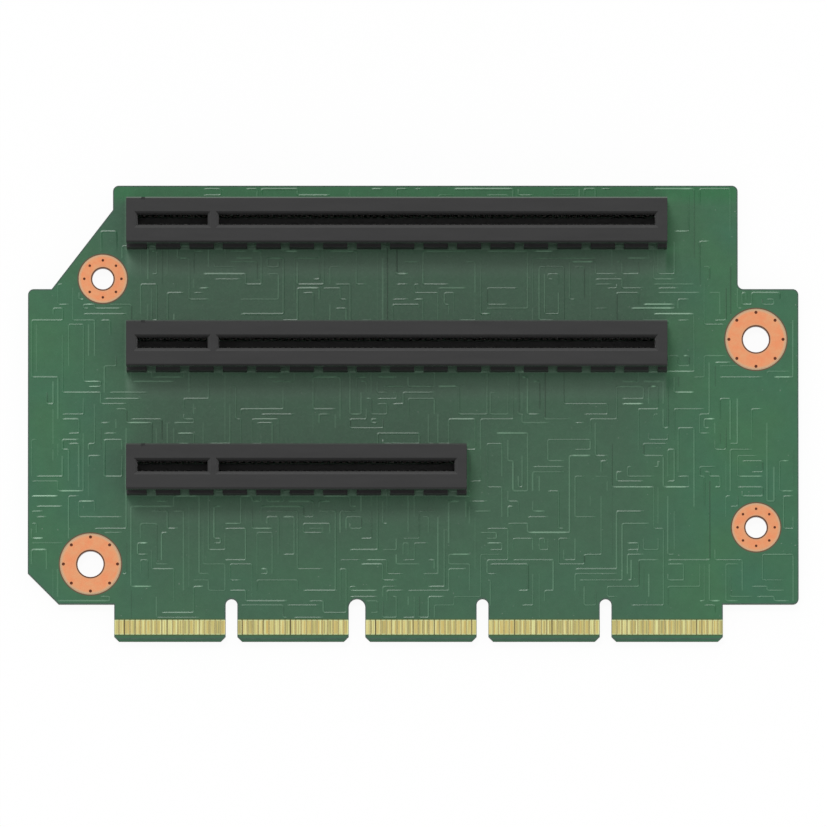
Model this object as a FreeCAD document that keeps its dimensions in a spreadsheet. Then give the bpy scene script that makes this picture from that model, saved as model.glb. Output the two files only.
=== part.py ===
"""Server riser card: a routed circuit board with five edge tongues, four plated mounting holes,
and three keyed card-edge connectors with their contacts.

Frame: +Z points out of the board's front, where the connectors stand, +Y points away from the edge
tongues, and the origin is under the middle of the card, level with the tips of the locating pegs,
on which the card rests. All sizes are in millimetres.
"""
import FreeCAD, Part
import math
import os
import Sketcher

os.makedirs("parts", exist_ok=True)
doc = FreeCAD.newDocument("riser_card")

# ---------------------------------------------------------------- driving sizes
sheet = doc.addObject("Spreadsheet::Sheet", "Sizes")


class Length:
    """A size with its value and the expression that ties it to the sheet."""

    def __init__(self, value, text):
        self.value = float(value)
        self.text = text

    def combine(self, other, sign, result):
        return Length(result, f"({self.text} {sign} {as_length(other).text})")

    def __add__(self, other):
        return self.combine(other, "+", self.value + as_length(other).value)

    def __sub__(self, other):
        return self.combine(other, "-", self.value - as_length(other).value)

    def __mul__(self, other):
        return self.combine(other, "*", self.value * as_length(other).value)

    def __truediv__(self, other):
        return self.combine(other, "/", self.value / as_length(other).value)

    def __neg__(self):
        return Length(-self.value, f"(0 - {self.text})")


def as_length(value):
    return value if isinstance(value, Length) else Length(value, repr(value))


def whole(length):
    """The number of whole copies in a worked-out count."""
    return Length(math.floor(length.value), f"floor({length.text})")


def driving_size(alias, value, meaning):
    """Write one size into the sheet and give it back as a Length."""
    driving_size.row += 1
    sheet.set(f"A{driving_size.row}", meaning)
    sheet.set(f"B{driving_size.row}", str(value))
    sheet.setAlias(f"B{driving_size.row}", alias)
    return Length(value, f"Sizes.{alias}")


driving_size.row = 0

board_width = driving_size("BoardWidth", 127.0, "board, left edge to right edge")
board_height = driving_size("BoardHeight", 75.3, "board, top edge to tongue ends")
board_thickness = driving_size("BoardThickness", 1.57, "laminate thickness")
left_step_in = driving_size("LeftStepIn", 14.0, "upper part, set in from the left edge")
left_slope_run = driving_size("LeftSlopeRun", 10.1, "sloping edge, width")
left_slope_top = driving_size("LeftSlopeTop", 4.0, "sloping edge, top end below the top edge")
right_step_in = driving_size("RightStepIn", 10.0, "upper part, set in from the right edge")
shoulder_drop = driving_size("ShoulderDrop", 17.1, "shoulders, below the top edge")
corner_cut = driving_size("CornerCut", 5.1, "cut lower left corner")
corner_radius = driving_size("CornerRadius", 0.95, "routed corners")

tongue_length = driving_size("TongueLength", 6.15, "edge tongues, below the lower shoulder")
tongue_width = driving_size("TongueWidth", 18.35, "each edge tongue")
tongue_row_offset = driving_size("TongueRowOffset", 0.88, "tongue row, right of the board's middle")
slot_gap = driving_size("SlotGap", 1.93, "gap between tongues")
wide_slot_gap = driving_size("WideSlotGap", 2.72, "second gap, which keys the card")
slot_rise = driving_size("SlotRise", 0.9, "gaps, above the lower shoulder")
tongue_corner = driving_size("TongueCorner", 0.8, "cut corners of the tongues")
tongue_bevel = driving_size("TongueBevel", 0.35, "bevel of the tongue ends")

finger_pitch = driving_size("FingerPitch", 0.88, "edge fingers, centre to centre")
finger_width = driving_size("FingerWidth", 0.64, "edge finger")
finger_length = driving_size("FingerLength", 2.45, "edge finger")
finger_setback = driving_size("FingerSetback", 1.15, "fingers, above the tongue end")
finger_margin = driving_size("FingerMargin", 0.05, "row of fingers to the tongue's side, at least")
plating = driving_size("Plating", 0.05, "fingers and pads, thickness")

small_hole = driving_size("SmallHole", 3.5, "small mounting hole, finished diameter")
large_hole = driving_size("LargeHole", 4.3, "large mounting hole, finished diameter")
small_pad = driving_size("SmallPad", 7.9, "copper pad of a small hole")
large_pad = driving_size("LargePad", 9.8, "copper pad of a large hole")
barrel_wall = driving_size("BarrelWall", 0.2, "copper barrel that lines a mounting hole")
left_hole_in = driving_size("LeftHoleIn", 10.33, "lower left hole, in from the left edge")
left_hole_up = driving_size("LeftHoleUp", 12.8, "lower left hole, above the tongue ends")
slope_hole_in = driving_size("SlopeHoleIn", 12.33, "upper left hole, in from the left edge")
slope_hole_down = driving_size("SlopeHoleDown", 15.4, "upper left hole, below the top edge")
right_hole_in = driving_size("RightHoleIn", 7.0, "right holes, in from the right edge")
right_hole_up = driving_size("RightHoleUp", 18.85, "lower right hole, above the tongue ends")
right_hole_down = driving_size("RightHoleDown", 25.4, "upper right hole, below the top edge")

full_length = driving_size("FullLength", 89.0, "full-length connector")
half_length = driving_size("HalfLength", 56.0, "half-length connector")
connector_offset = driving_size("ConnectorOffset", 2.7, "full connector, left of the board's middle")
connector_top = driving_size("ConnectorTop", 6.4, "upper connector's middle, below the top edge")
connector_pitch = driving_size("ConnectorPitch", 20.32, "connector to connector")
head_width = driving_size("HeadWidth", 7.5, "housing, top band")
head_height = driving_size("HeadHeight", 3.25, "housing, top band")
waist_width = driving_size("WaistWidth", 6.3, "housing, below the top band")
foot_width = driving_size("FootWidth", 8.3, "housing, over its buttresses")
foot_height = driving_size("FootHeight", 5.0, "buttresses, above the board")
housing_height = driving_size("HousingHeight", 11.25, "housing, above the board")
edge_break = driving_size("EdgeBreak", 0.25, "long top edges of the housing")
first_buttress = driving_size("FirstButtress", 3.3, "first buttress")
buttress_pitch = driving_size("ButtressPitch", 5.51, "buttresses, from one to the next")
buttress_gap = driving_size("ButtressGap", 1.53, "gap between buttresses")
left_wall = driving_size("LeftWall", 1.8, "housing wall at the left end")
right_wall = driving_size("RightWall", 2.0, "housing wall at the right end")
short_cavity = driving_size("ShortCavity", 11.6, "cavity on the left of the key")
key_width = driving_size("KeyWidth", 1.8, "key between the two cavities")
slot_width = driving_size("SlotWidth", 1.7, "card slot")
slot_floor = driving_size("SlotFloor", 3.15, "floor of the card slot, above the board")
lead_in = driving_size("LeadIn", 0.5, "chamfer round the mouth of the slot")
lip_height = driving_size("LipHeight", 1.6, "lip that covers the contact tips")
notch_in = driving_size("NotchIn", 2.5, "first-contact notch, in from the left end")
notch_width = driving_size("NotchWidth", 0.6, "first-contact notch")
notch_depth = driving_size("NotchDepth", 0.45, "first-contact notch")
peg_diameter = driving_size("PegDiameter", 2.35, "locating peg")
peg_length = driving_size("PegLength", 2.7, "locating peg, below the housing")
peg_clearance = driving_size("PegClearance", 0.05, "round each peg in the board")
end_peg_in = driving_size("EndPegIn", 1.55, "end peg, in from the right end")

contact_pitch = driving_size("ContactPitch", 1.0, "contacts, centre to centre")
contact_width = driving_size("ContactWidth", 0.55, "contact blade")
contact_foot = driving_size("ContactFoot", 0.4, "contact at its foot, thickness")
contact_reach = driving_size("ContactReach", 0.2, "contact tip, into the card slot")
contact_clearance = driving_size("ContactClearance", 0.05, "contact to the housing's walls")
channel_width = driving_size("ChannelWidth", 0.8, "contact channel beside the slot")
key_to_contact = driving_size("KeyToContact", 1.5, "key's middle to the nearest contact")
contact_margin = driving_size("ContactMargin", 0.9, "end contact's middle to its cavity's end, at least")

# ---------------------------------------------------------------- places worked out from the sizes
board_back = peg_length - board_thickness
board_front = as_length(peg_length)
left_edge = -(board_width / 2)
right_edge = board_width / 2
top_edge = board_height / 2
tongue_end = -(board_height / 2)
upper_shoulder = top_edge - shoulder_drop
lower_shoulder = tongue_end + tongue_length
key_middle = left_wall + short_cavity + key_width / 2
channel_outside = slot_width / 2 + channel_width

slot_gaps = [slot_gap, wide_slot_gap, slot_gap, slot_gap]
tongue_row = tongue_width
for gap in slot_gaps:
    tongue_row = tongue_row + gap + tongue_width
tongue_starts = [tongue_row_offset - tongue_row / 2]
for gap in slot_gaps:
    tongue_starts.append(tongue_starts[-1] + tongue_width + gap)

left_hole_x = left_edge + left_hole_in
slope_hole_x = left_edge + slope_hole_in
right_hole_x = right_edge - right_hole_in
left_hole_y = tongue_end + left_hole_up
slope_hole_y = top_edge - slope_hole_down
low_right_hole_y = tongue_end + right_hole_up
top_right_hole_y = top_edge - right_hole_down
mounting_holes = {
    "plated_ring_upper_left": (slope_hole_x, slope_hole_y, small_hole, small_pad),
    "plated_ring_lower_left": (left_hole_x, left_hole_y, large_hole, large_pad),
    "plated_ring_lower_right": (right_hole_x, low_right_hole_y, small_hole, small_pad),
    "plated_ring_upper_right": (right_hole_x, top_right_hole_y, large_hole, large_pad),
}

connector_left = -connector_offset - full_length / 2
connector_middle = top_edge - connector_top
connectors = {
    "upper": (connector_middle, full_length),
    "middle": (connector_middle - connector_pitch, full_length),
    "lower": (connector_middle - connector_pitch * 2, half_length),
}


# ---------------------------------------------------------------- drawing helpers
NEAR = 0.001


def new_body(label, x, y, z):
    body = doc.addObject("PartDesign::Body", label)
    body.Label = label
    for axis, place in zip("xyz", (x, y, z)):
        body.setExpression(f"Placement.Base.{axis}", as_length(place).text)
    return body


def origin_feature(body, role):
    return next(item for item in body.Origin.OriginFeatures if item.Role == role)


def new_sketch(body, name, plane, along_normal=0.0):
    sketch = body.newObject("Sketcher::SketchObject", name)
    sketch.AttachmentSupport = [(origin_feature(body, plane), "")]
    sketch.MapMode = "FlatFace"
    sketch.setExpression("AttachmentOffset.Base.z", as_length(along_normal).text)
    return sketch


def fix_point(sketch, geometry, position, x, y):
    """Hold one point of a sketch at a place bound to the sheet."""
    for kind, place in (("DistanceX", x), ("DistanceY", y)):
        place = as_length(place)
        index = sketch.addConstraint(
            Sketcher.Constraint(kind, -1, 1, geometry, position, place.value)
        )
        sketch.setExpression(f"Constraints[{index}]", place.text)


def draw_outline(sketch, corners):
    """A closed outline of straight edges through the corners."""
    points = [FreeCAD.Vector(as_length(x).value, as_length(y).value, 0) for x, y in corners]
    first = sketch.GeometryCount
    count = len(points)
    for start in range(count):
        sketch.addGeometry(Part.LineSegment(points[start], points[(start + 1) % count]), False)
    for start in range(count):
        after = first + (start + 1) % count
        sketch.addConstraint(Sketcher.Constraint("Coincident", first + start, 2, after, 1))
    for start, (x, y) in enumerate(corners):
        fix_point(sketch, first + start, 1, x, y)


def draw_rectangle(sketch, low_x, high_x, low_y, high_y):
    draw_outline(sketch, [(low_x, low_y), (high_x, low_y), (high_x, high_y), (low_x, high_y)])


def draw_circle(sketch, x, y, diameter):
    centre = FreeCAD.Vector(as_length(x).value, as_length(y).value, 0)
    circle = sketch.addGeometry(
        Part.Circle(centre, FreeCAD.Vector(0, 0, 1), diameter.value / 2), False
    )
    fix_point(sketch, circle, 3, x, y)
    index = sketch.addConstraint(Sketcher.Constraint("Diameter", circle, diameter.value))
    sketch.setExpression(f"Constraints[{index}]", diameter.text)


def draw_round_topped_slot(sketch, low_x, high_x, low_y, top_y):
    """Straight sides and a half-round top whose radius is half the slot's width."""
    radius = (high_x - low_x) / 2
    side_top = top_y - radius
    corner = {
        "low left": FreeCAD.Vector(low_x.value, low_y.value, 0),
        "low right": FreeCAD.Vector(high_x.value, low_y.value, 0),
        "high right": FreeCAD.Vector(high_x.value, side_top.value, 0),
        "high left": FreeCAD.Vector(low_x.value, side_top.value, 0),
    }
    crown = FreeCAD.Vector((low_x.value + high_x.value) / 2, top_y.value, 0)
    base = sketch.addGeometry(Part.LineSegment(corner["low left"], corner["low right"]), False)
    right = sketch.addGeometry(Part.LineSegment(corner["low right"], corner["high right"]), False)
    arc = sketch.addGeometry(Part.Arc(corner["high right"], crown, corner["high left"]), False)
    left = sketch.addGeometry(Part.LineSegment(corner["high left"], corner["low left"]), False)
    sketch.addConstraint(Sketcher.Constraint("Coincident", base, 2, right, 1))
    sketch.addConstraint(Sketcher.Constraint("Coincident", right, 2, arc, 1))
    sketch.addConstraint(Sketcher.Constraint("Coincident", arc, 2, left, 1))
    sketch.addConstraint(Sketcher.Constraint("Coincident", left, 2, base, 1))
    fix_point(sketch, base, 1, low_x, low_y)
    fix_point(sketch, right, 1, high_x, low_y)
    fix_point(sketch, arc, 1, high_x, side_top)
    fix_point(sketch, left, 1, low_x, side_top)
    index = sketch.addConstraint(Sketcher.Constraint("DistanceY", -1, 1, arc, 3, side_top.value))
    sketch.setExpression(f"Constraints[{index}]", side_top.text)


def pad(body, name, sketch, length, downward=False):
    feature = body.newObject("PartDesign::Pad", name)
    feature.Profile = sketch
    feature.Length = length.value
    feature.setExpression("Length", length.text)
    feature.Reversed = downward
    doc.recompute()
    return feature


def pocket(body, name, sketch, depth, upward=False):
    """Cut the sketch into the body, and stop if nothing was taken away."""
    before = body.Shape.Volume
    feature = body.newObject("PartDesign::Pocket", name)
    feature.Profile = sketch
    feature.Type = "Length"
    feature.Length = depth.value
    feature.setExpression("Length", depth.text)
    feature.Reversed = upward
    doc.recompute()
    if not body.Shape.Volume < before:
        raise RuntimeError(f"{body.Label}: {name} cuts nothing")
    return feature


def row_pattern(body, name, feature, pitch, count):
    """Repeat a feature along the body's +X axis."""
    pattern = body.newObject("PartDesign::LinearPattern", name)
    pattern.Originals = [feature]
    pattern.Direction = (origin_feature(body, "X_Axis"), [""])
    pattern.Mode = "Spacing"
    pattern.Offset = pitch.value
    pattern.setExpression("Offset", pitch.text)
    pattern.Occurrences = int(count.value)
    pattern.setExpression("Occurrences", count.text)
    body.Tip = pattern
    doc.recompute()
    return pattern


def edge_names(feature, wanted):
    """Names of the feature's edges that pass the test."""
    return [
        f"Edge{number}"
        for number, edge in enumerate(feature.Shape.Edges, start=1)
        if wanted(edge)
    ]


def dress_edges(body, kind, name, feature, wanted, size):
    """A fillet or chamfer on the wanted edges."""
    edges = edge_names(feature, wanted)
    if not edges:
        raise RuntimeError(f"{body.Label}: {name} finds no edge")
    dressed = body.newObject(f"PartDesign::{kind}", name)
    dressed.Base = (feature, edges)
    size_property = "Radius" if kind == "Fillet" else "Size"
    setattr(dressed, size_property, size.value)
    dressed.setExpression(size_property, size.text)
    doc.recompute()
    return dressed


def upright_at(places):
    """A test for vertical edges that stand on one of the places."""
    spots = [(as_length(x).value, as_length(y).value) for x, y in places]

    def wanted(edge):
        start = edge.Vertexes[0].Point
        end = edge.Vertexes[-1].Point
        upright = abs(start.x - end.x) < NEAR and abs(start.y - end.y) < NEAR
        return upright and any(
            abs(start.x - x) < NEAR and abs(start.y - y) < NEAR for x, y in spots
        )

    return wanted


# ---------------------------------------------------------------- circuit board
board = new_body("circuit_board", 0, 0, board_back)
outline = new_sketch(board, "BoardOutline", "XY_Plane")
upper_left = left_edge + left_step_in
slope_foot = upper_left - left_slope_run
upper_right = right_edge - right_step_in
tongues_left = tongue_starts[0]
tongues_right = tongue_starts[-1] + tongue_width
draw_outline(
    outline,
    [
        (upper_left, top_edge),
        (upper_left, top_edge - left_slope_top),
        (slope_foot, upper_shoulder),
        (left_edge, upper_shoulder),
        (left_edge, lower_shoulder + corner_cut),
        (left_edge + corner_cut, lower_shoulder),
        (tongues_left, lower_shoulder),
        (tongues_left, tongue_end),
        (tongues_right, tongue_end),
        (tongues_right, lower_shoulder),
        (right_edge, lower_shoulder),
        (right_edge, upper_shoulder),
        (upper_right, upper_shoulder),
        (upper_right, top_edge),
    ],
)
blank = pad(board, "BoardBlank", outline, board_thickness)

rounded_corners = upright_at(
    [
        (upper_left, top_edge),
        (left_edge, upper_shoulder),
        (right_edge, lower_shoulder),
        (right_edge, upper_shoulder),
        (upper_right, upper_shoulder),
        (upper_right, top_edge),
    ]
)
dress_edges(board, "Fillet", "RoutedCorners", blank, rounded_corners, corner_radius)

slots = new_sketch(board, "TongueGaps", "XY_Plane", board_thickness)
for start, gap in zip(tongue_starts, slot_gaps):
    gap_left = start + tongue_width
    draw_round_topped_slot(
        slots, gap_left, gap_left + gap, tongue_end - slot_rise, lower_shoulder + slot_rise
    )
gap_cut = pocket(board, "TongueGapCut", slots, board_thickness)

tongue_corners = upright_at(
    [(x, tongue_end) for start in tongue_starts for x in (start, start + tongue_width)]
)
cut_corners = dress_edges(board, "Chamfer", "TongueCorners", gap_cut, tongue_corners, tongue_corner)


def tongue_end_edge(edge):
    """The long edges along the ends of the tongues, on both faces."""
    start = edge.Vertexes[0].Point
    end = edge.Vertexes[-1].Point
    at_end = abs(start.y - tongue_end.value) < NEAR and abs(end.y - tongue_end.value) < NEAR
    return at_end and abs(start.x - end.x) > tongue_width.value / 2


dress_edges(board, "Chamfer", "TongueBevel", cut_corners, tongue_end_edge, tongue_bevel)

holes = new_sketch(board, "Holes", "XY_Plane", board_thickness)
for x, y, hole, hole_pad in mounting_holes.values():
    draw_circle(holes, x, y, hole + barrel_wall * 2)
for middle, length in connectors.values():
    for along in (key_middle, length - end_peg_in):
        draw_circle(holes, connector_left + along, middle, peg_diameter + peg_clearance * 2)
pocket(board, "HoleCut", holes, board_thickness)


# ---------------------------------------------------------------- plated mounting rings
def plated_ring(label, x, y, hole, hole_pad):
    """A pad on each face, joined by the barrel that lines the hole."""
    ring = new_body(label, x, y, board_back)
    section = new_sketch(ring, "RingSection", "XZ_Plane")
    bore = hole / 2
    barrel = bore + barrel_wall
    rim = hole_pad / 2
    draw_outline(
        section,
        [
            (bore, -plating),
            (rim, -plating),
            (rim, 0),
            (barrel, 0),
            (barrel, board_thickness),
            (rim, board_thickness),
            (rim, board_thickness + plating),
            (bore, board_thickness + plating),
        ],
    )
    turned = ring.newObject("PartDesign::Revolution", "RingTurned")
    turned.Profile = section
    turned.ReferenceAxis = (origin_feature(ring, "Z_Axis"), [""])
    turned.Angle = 360.0
    doc.recompute()
    return ring


rings = [plated_ring(label, *place) for label, place in mounting_holes.items()]


# ---------------------------------------------------------------- edge fingers
def edge_fingers(label, tongue_start, lowest):
    """One row of gold fingers on one face of a tongue, centred on the tongue."""
    spaces = whole((tongue_width - finger_width - finger_margin * 2) / finger_pitch)
    row_width = finger_pitch * spaces + finger_width
    row_start = tongue_start + (tongue_width - row_width) / 2
    row = new_body(label, row_start, tongue_end + finger_setback, lowest)
    section = new_sketch(row, "FingerOutline", "XY_Plane")
    draw_rectangle(section, 0, finger_width, 0, finger_length)
    finger = pad(row, "Finger", section, plating)
    row_pattern(row, "FingerRow", finger, finger_pitch, spaces + 1)
    return row


fingers = []
for number, start in enumerate(tongue_starts, start=1):
    fingers.append(edge_fingers(f"edge_fingers_{number}_front", start, board_front))
    fingers.append(edge_fingers(f"edge_fingers_{number}_back", start, board_back - plating))


# ---------------------------------------------------------------- connector housings
def slot_housing(label, middle, length):
    """A moulded housing: a wide head on a narrower waist, braced by buttresses at the foot, with a
    keyed slot in two cavities, a contact channel on each side of them, and two locating pegs."""
    housing = new_body(label, connector_left, middle, board_front)
    head = head_width / 2
    waist = waist_width / 2
    foot = foot_width / 2
    head_foot = housing_height - head_height
    right_half = [
        (foot, 0),
        (foot, foot_height),
        (waist, foot_height),
        (waist, head_foot),
        (head, head_foot),
        (head, housing_height - edge_break),
        (head - edge_break, housing_height),
    ]
    left_half = [(-y, z) for y, z in reversed(right_half)]
    section = new_sketch(housing, "HousingSection", "YZ_Plane")
    draw_outline(section, right_half + left_half)
    pad(housing, "HousingBlock", section, length)

    gap_sketch = new_sketch(housing, "ButtressGap", "XY_Plane")
    gap_end = first_buttress + buttress_gap
    draw_rectangle(gap_sketch, first_buttress, gap_end, waist, foot + edge_break)
    draw_rectangle(gap_sketch, first_buttress, gap_end, -foot - edge_break, -waist)
    gap_feature = pocket(housing, "ButtressGapCut", gap_sketch, foot_height, upward=True)
    gap_spaces = whole((length - first_buttress - buttress_gap) / buttress_pitch)
    row_pattern(housing, "Buttresses", gap_feature, buttress_pitch, gap_spaces + 1)

    cavities = [
        (left_wall, left_wall + short_cavity),
        (left_wall + short_cavity + key_width, length - right_wall),
    ]
    channels = new_sketch(housing, "ContactChannels", "XY_Plane")
    channel_inside = slot_width / 2 - contact_clearance
    for low, high in cavities:
        draw_rectangle(channels, low, high, channel_inside, channel_outside)
        draw_rectangle(channels, low, high, -channel_outside, -channel_inside)
    pocket(housing, "ContactChannelCut", channels, housing_height - lip_height, upward=True)

    slot = new_sketch(housing, "CardSlot", "XY_Plane", housing_height)
    for low, high in cavities:
        draw_rectangle(slot, low, high, -slot_width / 2, slot_width / 2)
    slot_cut = pocket(housing, "CardSlotCut", slot, housing_height - slot_floor)

    def mouth_edge(edge):
        box = edge.BoundBox
        at_top = abs(box.ZMin - housing_height.value) < NEAR
        inside = max(abs(box.YMin), abs(box.YMax)) < slot_width.value / 2 + NEAR
        return at_top and inside and 0 < box.XMin and box.XMax < length.value

    dress_edges(housing, "Chamfer", "MouthLeadIn", slot_cut, mouth_edge, lead_in)

    notch = new_sketch(housing, "FirstContactNotch", "XY_Plane", housing_height)
    draw_rectangle(notch, notch_in, notch_in + notch_width, head - notch_depth, head + edge_break)
    pocket(housing, "FirstContactNotchCut", notch, head_height)

    pegs = new_sketch(housing, "Pegs", "XY_Plane")
    for along in (key_middle, length - end_peg_in):
        draw_circle(pegs, along, 0, peg_diameter)
    pad(housing, "PegPad", pegs, peg_length, downward=True)
    return housing


# ---------------------------------------------------------------- contacts
def slot_contacts(label, middle, length, side):
    """One row of contact blades: each stands on the board in its channel, tapers to its tip and leans
    into the card slot under the lip. side is 1 for the row at +Y and -1 for the row at -Y."""
    row = new_body(label, connector_left, middle, board_front)
    back = channel_outside - contact_clearance
    tip = slot_width / 2 - contact_reach
    tip_height = housing_height - lip_height - contact_clearance
    blade = [(back, 0), (back - contact_foot, 0), (tip, tip_height)]
    if side < 0:
        blade = [(-y, z) for y, z in blade]
    left_run = key_middle - key_to_contact - left_wall - contact_margin
    right_run = length - right_wall - contact_margin - key_middle - key_to_contact
    left_spaces = whole(left_run / contact_pitch)
    right_spaces = whole(right_run / contact_pitch)
    groups = [
        ("Left", key_middle - key_to_contact - contact_pitch * left_spaces, left_spaces + 1),
        ("Right", key_middle + key_to_contact, right_spaces + 1),
    ]
    for name, first_contact, count in groups:
        section = new_sketch(
            row, f"BladeSection{name}", "YZ_Plane", first_contact - contact_width / 2
        )
        draw_outline(section, blade)
        contact = pad(row, f"Blade{name}", section, contact_width)
        row_pattern(row, f"BladeRow{name}", contact, contact_pitch, count)
    return row


housings = []
contacts = []
for place, (middle, length) in connectors.items():
    housings.append(slot_housing(f"slot_housing_{place}", middle, length))
    contacts.append(slot_contacts(f"slot_contacts_{place}_a", middle, length, 1))
    contacts.append(slot_contacts(f"slot_contacts_{place}_b", middle, length, -1))

# ---------------------------------------------------------------- check and write
doc.recompute()
for item in doc.Objects:
    if "Invalid" in item.State or "Error" in item.State:
        raise RuntimeError(f"{item.Label} failed to build: {item.State}")
pieces = [board] + rings + fingers + housings + contacts
for piece in pieces:
    if piece.Shape.isNull() or not piece.Shape.isValid():
        raise RuntimeError(f"{piece.Label} has no valid shape")
for piece in pieces:
    piece.Shape.exportStep(f"parts/{piece.Label}.step")
    print(piece.Label, len(piece.Shape.Solids), round(piece.Shape.Volume, 2))
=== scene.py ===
"""Looks of the server riser card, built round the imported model. Lengths are in metres, and names that
end in _mm hold millimetres. The card lies on its locating pegs with its connectors facing up."""
import math
import random
import bpy
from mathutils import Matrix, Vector


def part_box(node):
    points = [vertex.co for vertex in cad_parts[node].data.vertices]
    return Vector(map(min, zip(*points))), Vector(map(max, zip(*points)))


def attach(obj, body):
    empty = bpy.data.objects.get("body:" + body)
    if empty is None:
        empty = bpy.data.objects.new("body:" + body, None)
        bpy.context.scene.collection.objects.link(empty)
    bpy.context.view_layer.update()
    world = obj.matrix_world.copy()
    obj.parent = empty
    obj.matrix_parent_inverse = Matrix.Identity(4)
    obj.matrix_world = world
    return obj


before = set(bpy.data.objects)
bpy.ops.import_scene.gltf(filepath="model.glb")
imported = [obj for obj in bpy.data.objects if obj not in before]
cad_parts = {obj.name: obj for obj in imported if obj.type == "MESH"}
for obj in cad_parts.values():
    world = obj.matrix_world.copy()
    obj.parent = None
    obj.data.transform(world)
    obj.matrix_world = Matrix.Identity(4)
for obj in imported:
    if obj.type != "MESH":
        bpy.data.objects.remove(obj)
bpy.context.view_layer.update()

# ------------------------------------------------------------------ circuit board
# A routed panel of glass-fibre laminate with a satin green solder mask on both faces and on the bevels
# of the tongue ends. Bare laminate shows along the routed edges, in the narrow openings of the mask
# round the copper pads, and between the edge fingers.
MM = 0.001
board_low, board_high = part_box("circuit_board")
board_front = board_high.z
board_back = board_low.z
ring_nodes = sorted(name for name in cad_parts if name.startswith("plated_ring"))
finger_nodes = sorted(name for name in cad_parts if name.startswith("edge_fingers"))
housing_nodes = sorted(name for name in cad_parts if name.startswith("slot_housing"))
finger_low, finger_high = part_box(finger_nodes[0])
weave_pitch_mm = 0.62
ply_pitch_mm = 0.2
resin_film_mm = 0.03
band_opening_mm = 0.14
band_blur_mm = 0.04
ring_opening_mm = 0.2
ring_blur_mm = 0.06
large_ring_from_mm = 4.4
# width and colour of a painted highlight round the edge of each copper pad
large_ring_highlight_mm = 0.13
small_ring_highlight_mm = 0.03
highlight_tan = (0.50, 0.36, 0.21, 1)
mask_gloss = 0.35
mask_green = (0.023, 0.121, 0.046, 1)
mask_teal_green = (0.018, 0.112, 0.053, 1)
# greyer green, painted as shade over the middle of the card
mask_shaded_grey_green = (0.024, 0.091, 0.043, 1)
# greener green, painted as light along the top edge
mask_lit_top_green = (0.010, 0.125, 0.038, 1)
# greens painted as light below each housing and past its right end
mask_painted_light_green = (0.115, 0.205, 0.140, 1)
mask_lit_green = (0.042, 0.190, 0.070, 1)
dust_grey = (0.3, 0.34, 0.3, 1)
# reach of the painted shade over the middle, and how it fades towards the bottom
shade_middle_left_mm = 4.0
shade_starts_share = 0.84
shade_full_share = 0.60
fade_starts_mm = -20.0
fade_full_mm = -27.0
# reach of the painted light along the top edge
top_light_starts_mm = 3.4
top_light_full_mm = 1.6
# reach and strength of the painted light below each housing and past its right end
light_beside_mm = 4.4
light_full_mm = 6.5
light_end_mm = 9.0
light_past_end_mm = 3.4
painted_light_share = {"upper": 0.48, "middle": 0.44, "lower": 0.22}
past_end_share = {"upper": 0.48, "middle": 0.40, "lower": 0.25}
laminate_edge = (0.045, 0.050, 0.026, 1)
laminate_ply = (0.130, 0.122, 0.066, 1)
laminate_bare = (0.46, 0.40, 0.17, 1)
laminate_dark = (0.13, 0.10, 0.035, 1)
opening_brown = (0.105, 0.044, 0.014, 1)
opening_olive = (0.046, 0.084, 0.016, 1)


def node(tree, kind, inputs=None, **settings):
    """Add a shader node, with its settings and the values or links of its inputs."""
    made = tree.nodes.new(kind)
    for name, value in settings.items():
        setattr(made, name, value)
    for key, value in (inputs or {}).items():
        if isinstance(value, bpy.types.NodeSocket):
            tree.links.new(value, made.inputs[key])
        else:
            made.inputs[key].default_value = value
    return made


def maths(tree, operation, first, second=0.5, third=0.5):
    made = node(tree, "ShaderNodeMath", {0: first, 1: second, 2: third}, operation=operation)
    return made.outputs[0]


def blend_colour(tree, factor, first, second):
    made = node(tree, "ShaderNodeMix", {0: factor, 6: first, 7: second}, data_type="RGBA")
    return made.outputs[2]


def spread(tree, value, low, high, to_low=0.0, to_high=1.0):
    """Map a value from one range to another, held at both ends."""
    made = node(tree, "ShaderNodeMapRange", {0: value, 1: low, 2: high, 3: to_low, 4: to_high})
    return made.outputs[0]


def noise(tree, place, scale, detail=2.0, roughness=0.5):
    made = node(
        tree, "ShaderNodeTexNoise",
        {"Vector": place, "Scale": scale, "Detail": detail, "Roughness": roughness},
    )
    return made.outputs[0]


def place_in_mm(tree):
    """Places on the object, in millimetres."""
    place = node(tree, "ShaderNodeTexCoord").outputs["Object"]
    return node(tree, "ShaderNodeVectorMath", {0: place, 3: 1 / MM}, operation="SCALE").outputs[0]


def stretched(tree, place, scale):
    made = node(tree, "ShaderNodeVectorMath", {0: place, 1: scale}, operation="MULTIPLY")
    return made.outputs[0]


def apart(tree, vector):
    return node(tree, "ShaderNodeSeparateXYZ", {0: vector}).outputs


def shader_group(name, inputs, outputs):
    """A node group with named inputs and outputs, and its two end nodes."""
    group = bpy.data.node_groups.new(name, "ShaderNodeTree")
    for label, kind, value in inputs:
        socket = group.interface.new_socket(label, in_out="INPUT", socket_type=kind)
        if value is not None:
            socket.default_value = value
    for label, kind in outputs:
        group.interface.new_socket(label, in_out="OUTPUT", socket_type=kind)
    return group, node(group, "NodeGroupInput"), node(group, "NodeGroupOutput")


def use_group(tree, group, inputs):
    """Place a node group with its own values or links, and give its outputs."""
    return node(tree, "ShaderNodeGroup", inputs, node_tree=group).outputs


def new_material(name, **values):
    """A material whose Principled shader has the given plain values."""
    material = bpy.data.materials.new(name)
    material.use_nodes = True
    tree = material.node_tree
    shader = tree.nodes["Principled BSDF"]
    for key, value in values.items():
        shader.inputs[key.replace("_", " ")].default_value = value
    return material, tree, shader


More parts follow.
